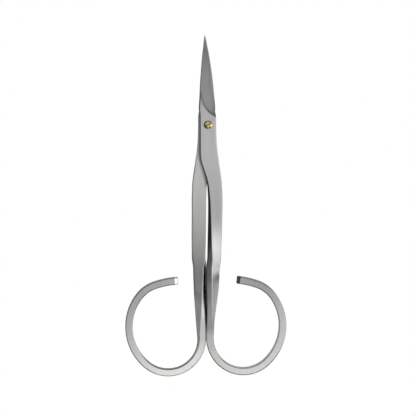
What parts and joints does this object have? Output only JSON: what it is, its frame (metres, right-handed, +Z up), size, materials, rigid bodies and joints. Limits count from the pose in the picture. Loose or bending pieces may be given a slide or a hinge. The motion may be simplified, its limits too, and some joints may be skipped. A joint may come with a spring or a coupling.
{
  "type": "cuticle scissors",
  "caption": "Slim pivoting cuticle scissors in satin steel with fine pointed blades, twisted bar shanks, open bent finger rings and a slotted brass pivot screw.",
  "frame": {"origin": "on the pivot screw's axis, at the flat underside of the back half that the scissors lie on", "axes": "+Z up along the screw to its head, +Y along the closed blades to their tips, +X towards the front half's ring"},
  "size_m": [0.0433, 0.0914, 0.0044],
  "materials": {
    "steel": "satin brushed stainless steel",
    "brass": "turned brass"
  },
  "bodies": {
    "back": {"back_half": "steel", "pivot_screw": "brass"},
    "front": {"front_half": "steel"}
  },
  "joints": [
    {"name": "pivot", "type": "hinge", "parent": "back", "child": "front", "pos_m": [0, 0, 0.0026], "axis": [0, 0, 1], "range_deg": [0, 60]}
  ]
}
